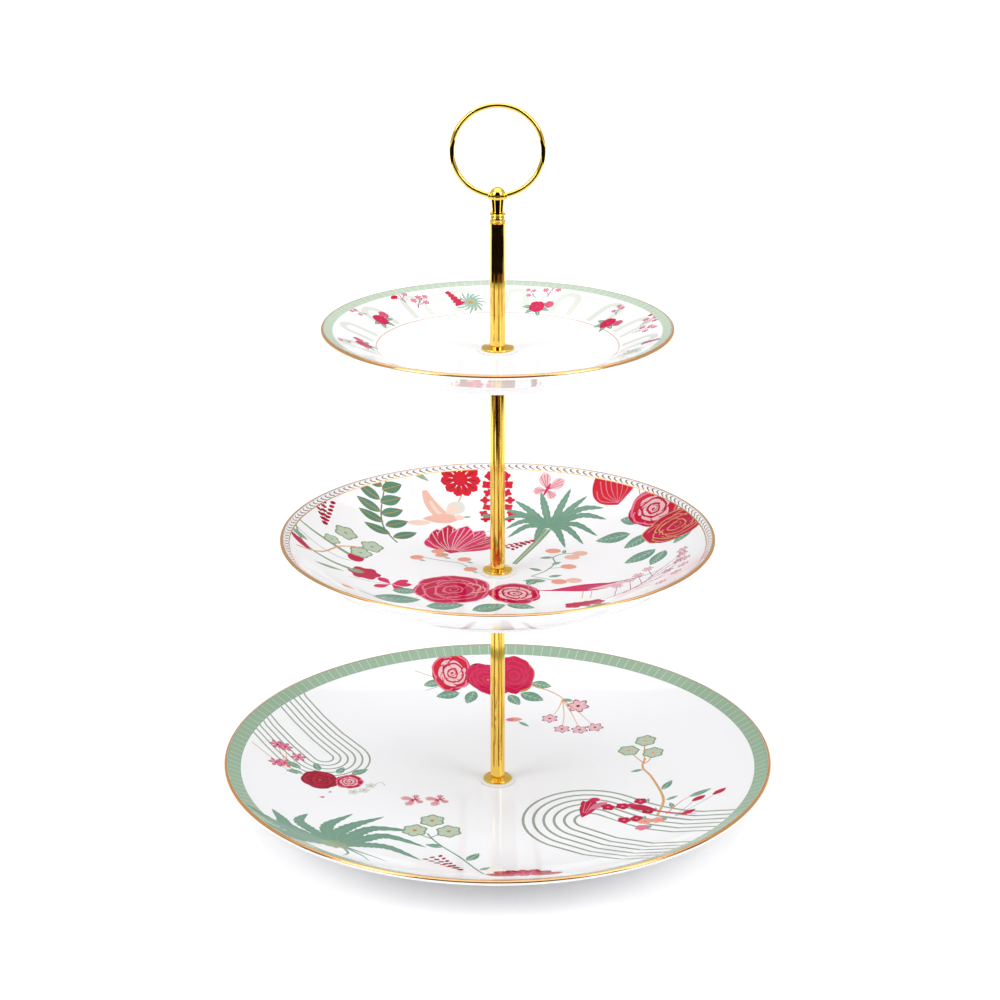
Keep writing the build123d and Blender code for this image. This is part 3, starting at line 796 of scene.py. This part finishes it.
    # rose in front of the post
    p.leaf(14, -16, 60, 9, 5)
    p.leaf(4, -40, -20, 14, 7)
    p.rose(8, -27, 12, 13, "blush", "pink", "crimson", "scarlet", 50, outer="crimson")


def decorate_top(p):
    p.rings += [TOP_LINE, TOP_LINE + PINK_RING]
    p.ticks(120, 75.5, 79.4, 0.15, "mist")
    half = 4.7
    bend_angles = [math.pi * j / 12 for j in range(13)]
    for k in range(16):
        angle = 14.5 + 22.5 * k
        bend = [(67.5 + half * math.sin(a), -half * math.cos(a)) for a in bend_angles]
        limbs = [(57.2, -half), (62, -half), *bend, (62, half), (57.2, half)]
        p.add(ribbon(spin(limbs, turn=angle), 3.4), "mist")
    for x, y, big in ((-55, 31, 3.9), (52, 30, 3.9), (19, 58, 3.9), (-61, -9, 3.8)):
        angle = math.degrees(math.atan2(y, x))
        for turn in (100, 140, 200, 250, -60):
            p.leaf(x, y, angle + turn, 7.2, 2.6, veins=0)
        p.rose(x, y, big, big * 0.95, "crimson", "magenta", "wine", "pink", angle)
        px, py = spin([(2, -5.5)], x, y, angle)[0]
        p.rose(px, py, big * 0.66, big * 0.6, "crimson", "pink", "wine", "pink", angle)
        tx, ty = spin([(6, 2.5)], x, y, angle)[0]
        p.sprig(tx, ty, angle + 40, 6, 3, "sage", "mauve", "pink", 1.2)
    for x, y in ((-13, 62), (60, -27)):
        angle = math.degrees(math.atan2(y, x))
        for k in range(15):
            tip = (8 if k % 2 else 6.6, -0.4)
            p.frond(spin([(0, 0), (4, 0.8), tip], x, y, angle + 24 * k), 1.5)
        p.put(oval(1.4, 1.1, 8), x, y, 0, "ochre")
    p.berries(-18, 60, 130, 9, 5, "crimson", "sage", 2.6)
    p.berries(66, -16, -20, 8, 5, "mauve", "sage", 1.8)
    for x, y, turn in ((-44, 53, 120), (-38, 51, 80), (66, 14, 20), (62, 8, -10), (24, 64, 60)):
        p.sprig(x, y, turn, 9, 4, "mauve", "wine", "pink", 1.5)
    for x, y, turn in ((-51, 53, 60), (70, 22, 10)):
        p.bud(x, y, turn, 5, "scarlet", "scarlet")


# ---- plates ---------------------------------------------------------------------------
def topmost(verts, faces, decoration):
    """For each face the ink of the last shape that holds its middle, or None."""
    place = np.array([v[:] for v in verts])
    middle = place[np.array([f[:3] for f in faces])].mean(axis=1)
    far = np.hypot(middle[:, 0], middle[:, 1]) > decoration.band_r
    painted = [None] * len(faces)
    order = np.argsort(middle[:, 0])
    sorted_x = middle[order, 0]
    for points, ink, over in decoration.shapes:
        outline = np.array(points)
        low, high = outline.min(axis=0), outline.max(axis=0)
        near = order[np.searchsorted(sorted_x, low[0]):np.searchsorted(sorted_x, high[0])]
        near = near[(middle[near, 1] > low[1]) & (middle[near, 1] < high[1])]
        if not over:
            near = near[~far[near]]
        if not len(near):
            continue
        after = np.roll(outline, -1, axis=0)
        x, y = middle[near, 0][:, None], middle[near, 1][:, None]
        x0, y0, x1, y1 = outline[:, 0], outline[:, 1], after[:, 0], after[:, 1]
        side = (x1 - x0) * (y - y0) - (x - x0) * (y1 - y0)
        rising = (y0 <= y) & (y1 > y) & (side > 0)
        falling = (y0 > y) & (y1 <= y) & (side < 0)
        for face in near[rising.sum(axis=1) != falling.sum(axis=1)]:
            painted[face] = ink
    return painted


TURNED_COUNT = 240      # points round the lip, the underside and the hole
LINE_COUNT = 360        # points round a printed ring
CURVED_GRID, FLAT_GRID = (3.2, 2.3), (8.0, 6.0)     # spacing round and along the radius of the upper face
GRID_MARGIN = (2.5, 1.0)                            # kept clear at the hole and at the lip


def make_plate(shape, decoration, grounds):
    """A closed plate whose upper face is cut along every printed outline. grounds lists
    (outer radius, ink or None) from the middle outwards for what lies under the shapes."""
    count = TURNED_COUNT
    path = shape.outline()
    normals = path_normals(path)
    lip_normal = (-math.sin(shape.rim_slope), math.cos(shape.rim_slope))
    normals[0] = Vector(lip_normal)
    normals[-1] = Vector((0, 1))
    verts, faces, vertex_normals = lathe(path, normals, count)
    used = {ink for _, ink, _ in decoration.shapes} | {ink for _, ink in grounds if ink}
    names = dict.fromkeys(["", "leaf_gold"] + sorted(used))
    slots = {ink: i for i, ink in enumerate(names)}
    indices = [slots["leaf_gold"] if 1 <= i // count <= shape.lip_steps / 2 else 0 for i in range(len(faces))]
    ring_r, hole_r = shape.lip_start[0], path[-1].x
    flat, edges = [], []

    def ring(radius, number):
        first = len(flat)
        for k in range(number):
            flat.append((radius * math.cos(TAU * k / number), radius * math.sin(TAU * k / number)))
            edges.append((first + k, first + (k + 1) % number))

    ring(ring_r, count)
    ring(hole_r, count)
    for radius in decoration.rings:
        ring(radius, LINE_COUNT)
    r = hole_r + GRID_MARGIN[0]
    while r < ring_r - GRID_MARGIN[1]:
        across, along = CURVED_GRID if r > shape.well_r - 2 else FLAT_GRID
        number = int(TAU * r / across)
        for k in range(number):
            angle = TAU * (k + 0.5 * (int(r * 10) % 2)) / number
            flat.append((r * math.cos(angle), r * math.sin(angle)))
        r += along
    for points, _, _ in decoration.shapes:
        first = len(flat)
        flat.extend(points)
        edges.extend((first + k, first + (k + 1) % len(points)) for k in range(len(points)))
    result = delaunay_2d_cdt([Vector(v) for v in flat], edges, [], 0, 1e-4, True)
    out_verts, out_faces, from_verts = result[0], result[2], result[3]
    painted = topmost(out_verts, out_faces, decoration)
    index = []
    last_row = (len(path) - 1) * count
    for v, sources in zip(out_verts, from_verts):
        rim = [s for s in sources if s < 2 * count]
        if rim:
            index.append(rim[0] if rim[0] < count else last_row + rim[0] - count)
            continue
        r = v.length
        z, tilt = shape.top(r)
        index.append(len(verts))
        verts.append((v.x, v.y, z))
        size = math.hypot(1, tilt)
        vertex_normals.append((-tilt * v.x / r / size, -tilt * v.y / r / size, 1 / size))
    for face, ink in zip(out_faces, painted):
        r = (sum((out_verts[i] for i in face), Vector((0, 0))) / len(face)).length
        if r < hole_r and all(out_verts[i].length < hole_r * 1.001 for i in face):
            continue
        if ink is None:
            ink = next((g for limit, g in grounds if r < limit), None)
        corners = [index[i] for i in face]
        if len(set(corners)) < 3:
            continue
        a, b, c = (out_verts[i] for i in face[:3])
        if (b.x - a.x) * (c.y - a.y) - (b.y - a.y) * (c.x - a.x) < 0:
            corners.reverse()
        faces.append(corners)
        indices.append(slots[ink or ""])
    materials = [GLAZE if not ink else INKS[ink] for ink in slots]
    make_object(shape.name + "_printed_plate", verts, faces, vertex_normals, materials, indices,
                shape.name + "_plate")


lower = PlateShape("lower", 66.0, 76.0, (), "base_gasket")
middle = PlateShape("middle", 45.0, 60.0, (), "middle_support_gasket")
top = PlateShape("top", 46.0, 47.0, (53.0, math.radians(26)), "top_support_gasket")
for shape, band_r, decorate, grounds in (
    (lower, LOWER_BAND, decorate_lower, [(LOWER_BAND, None), (RIM, "band")]),
    (middle, MIDDLE_LINE, decorate_middle,
     [(MIDDLE_LINE, None), (MIDDLE_LINE + GOLD_RING, "leaf_gold"), (RIM, None)]),
    (top, TOP_BAND, decorate_top,
     [(TOP_LINE, None), (TOP_LINE + PINK_RING, "rim_pink"), (TOP_BAND, None), (RIM, "pale_band")]),
):
    decoration = Print(shape.lip_start[0] - 0.3, band_r)
    decorate(decoration)
    make_plate(shape, decoration, grounds)


# ---- studs ----------------------------------------------------------------------------
CREST, FLANK = 0.82, 0.7    # shares of half a pitch where the flank ends, and that it takes up


def threaded_stud(node, rod, radius, pitch):
    """A stud on its plug, with a helical thread cut into the shank."""
    low, high = (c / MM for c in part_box(node))
    shank_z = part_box(rod)[1].z / MM
    count, per_turn = 48, 10
    end_ease, plug_ease = 0.4, 0.2
    depth = 0.61 * pitch      # of an ISO metric thread
    rows = [(high.x - plug_ease, low.z), (high.x, low.z + plug_ease), (high.x, shank_z)]
    rows.append((radius - depth, shank_z))
    plain = len(rows)
    turns = int((high.z - shank_z) / pitch * per_turn)
    rows += [(radius, shank_z + (high.z - shank_z) * k / turns) for k in range(1, turns + 1)]
    verts = []
    for i, (r, z) in enumerate(rows):
        for k in range(count):
            reach = r
            if i >= plain:
                wave = abs(2 * ((z / pitch - k / count) % 1) - 1)
                reach = radius - depth * min(max((CREST - wave) / FLANK, 0), 1)
                reach = min(reach, radius - end_ease + (high.z - z))
            angle = TAU * k / count
            verts.append((reach * math.cos(angle) * MM, reach * math.sin(angle) * MM, z * MM))
    smooth_flags = [i >= plain for i in range(len(rows) - 1) for _ in range(count)] + [False, False]
    faces = bands(len(rows), count)
    faces.append(tuple(range(count))[::-1])
    faces.append(tuple(range((len(rows) - 1) * count, len(rows) * count)))
    mesh = bpy.data.meshes.new(node + "_threaded")
    mesh.from_pydata(verts, [], faces)
    mesh.polygons.foreach_set("use_smooth", smooth_flags)
    mesh.materials.append(ZINC)
    mesh.update()
    declare(mesh, node)


for node, rod, radius, pitch in (
    ("lower_stud", "lower_rod", 2.0, 0.7),
    ("middle_stud", "middle_rod", 2.0, 0.7),
    ("handle_stud", "top_rod", 1.5, 0.5),
):
    threaded_stud(node, rod, radius, pitch)

# ---- carried-over metal and rubber ----------------------------------------------------
for name, node in nodes.items():
    if name.endswith(("_plate", "_stud")):
        continue
    if "gasket" in name:
        finish = RUBBER
    elif name.endswith("_insert"):
        finish = BRASS
    elif name.endswith("_rod"):
        finish = DRAWN_GOLD
    else:
        finish = GOLD
    node.data.materials.clear()
    node.data.materials.append(finish)

# ---- stage ----------------------------------------------------------------------------
scene = bpy.context.scene
scene.view_settings.view_transform = "Standard"


def staged(name, verts, faces, material):
    mesh = bpy.data.meshes.new(name)
    mesh.from_pydata(verts, [], faces)
    mesh.materials.append(material)
    item = bpy.data.objects.new(name, mesh)
    scene.collection.objects.link(item)
    return item


FLOOR_REACH = 9.0
GLOW_SPAN, GLOW = (0.1, 2.4), (0.13, 0.62)     # floor's own glow, painted light that is weakest near the stand, where it paints a soft shade round the foot, rising with distance from the stand
glowing_paper = finish_material("studio_paper", linear(246, 246, 246), rough=(0.8, 0.95), scale=8, bump=0.02, ior=1.3)
tree = glowing_paper.node_tree
shader = tree.nodes["Principled BSDF"]
# painted light: the floor glows, least round the stand's foot, which paints a soft shade there
shader.inputs["Emission Color"].default_value = (1, 1, 1, 1)
away = tree.nodes.new("ShaderNodeVectorMath")
away.operation = "LENGTH"
glow = map_range(tree, GLOW_SPAN, GLOW)
tree.links.new(tree.nodes["Texture Coordinate"].outputs["Object"], away.inputs[0])
tree.links.new(away.outputs["Value"], glow.inputs["Value"])
tree.links.new(glow.outputs["Result"], shader.inputs["Emission Strength"])
floor = [(x * FLOOR_REACH, y * FLOOR_REACH, 0) for x, y in ((-1, -1), (1, -1), (1, 1), (-1, 1))]
staged("studio_floor", floor, [(0, 1, 2, 3)], glowing_paper)


def card_material(name, color):
    """A matt surface with no highlight, seen only in reflections."""
    material = bpy.data.materials.new(name)
    material.use_nodes = True
    matt = {"Base Color": color, "Roughness": 0.9, "Specular IOR Level": 0.0}
    set_inputs(material.node_tree.nodes["Principled BSDF"], matt)
    return material


def floor_card(x0, y0, x1, y1):
    return [(x0, y0, CARD_Z), (x1, y0, CARD_Z), (x1, y1, CARD_Z), (x0, y1, CARD_Z)]


def strip(angle, half, radius, height):
    """An upright card that faces the post, at an angle in degrees from the front."""
    out = Vector((math.sin(math.radians(angle)), -math.cos(math.radians(angle))))
    side = Vector((-out.y, out.x)) * half
    a, b = out * radius - side, out * radius + side
    return [(a.x, a.y, CARD_Z), (b.x, b.y, CARD_Z), (b.x, b.y, height), (a.x, a.y, height)]


CARD_Z = 0.002          # foot of every card, just above the floor
black = card_material("studio_black", (0.004, 0.003, 0.003, 1))
brown = card_material("studio_brown", (0.30, 0.12, 0.04, 1))
# painted reflections: black sheets on the floor and round the stand, seen only in reflections, paint dark
# reflections in the gold and the glaze
cards = [
    (floor_card(-3, -3, 3, -0.50), black),
    (floor_card(-3, -0.50, -0.62, 0.35), black),
    (floor_card(0.62, -0.50, 3, 0.35), black),
    ([(-1.1, -1.5, 0.2), (1.1, -1.5, 0.2), (1.1, -1.5, 2.0), (-1.1, -1.5, 2.0)], black),
]
for angle, half in ((-63, 0.035), (-24, 0.03), (9, 0.02), (38, 0.035), (70, 0.03)):
    cards.append((strip(angle, half, 0.34, 0.2), black))
# painted reflections: thin brown strips close to the post paint brown streaks on the gold rods
for angle, half in ((-50, 0.003), (14, 0.0035), (56, 0.0025)):
    cards.append((strip(angle, half, 0.022, 0.26), brown))
for k, (corners, material) in enumerate(cards):
    card = staged(f"dark_card_{k}", corners, [(0, 1, 2, 3)], material)
    for ray in ("camera", "diffuse", "shadow", "transmission"):
        setattr(card, "visible_" + ray, False)

world = bpy.data.worlds.new("studio")
world.use_nodes = True
set_inputs(world.node_tree.nodes["Background"], {"Color": (1, 1, 1, 1), "Strength": 0.52})
scene.world = world


LIT_POINT = Vector((0, 0, 0.15))    # what the softboxes face


def softbox(name, position, size, power):
    light = bpy.data.lights.new(name, "AREA")
    light.shape = "RECTANGLE"
    light.size, light.size_y = size
    light.energy = power
    lamp = bpy.data.objects.new(name, light)
    lamp.location = position
    lamp.rotation_euler = (LIT_POINT - Vector(position)).to_track_quat("-Z", "Y").to_euler()
    scene.collection.objects.link(lamp)


softbox("softbox_left", (-1.25, -0.85, 1.15), (0.8, 1.0), 11)
softbox("softbox_right", (1.25, -0.85, 1.15), (0.8, 1.0), 11)
softbox("softbox_above", (0, 0.1, 2.2), (3, 3), 36)

CAMERA_PITCH = 19.75    # degrees below the horizon
camera_data = bpy.data.cameras.new("camera")
camera_data.sensor_width = 36
camera_data.lens = 88.2
camera_data.shift_x = 0.0024
camera = bpy.data.objects.new("camera", camera_data)
camera.location = (0, -1.0855, 0.5445)
camera.rotation_euler = (math.radians(90 - CAMERA_PITCH), 0, 0)
scene.collection.objects.link(camera)
scene.camera = camera
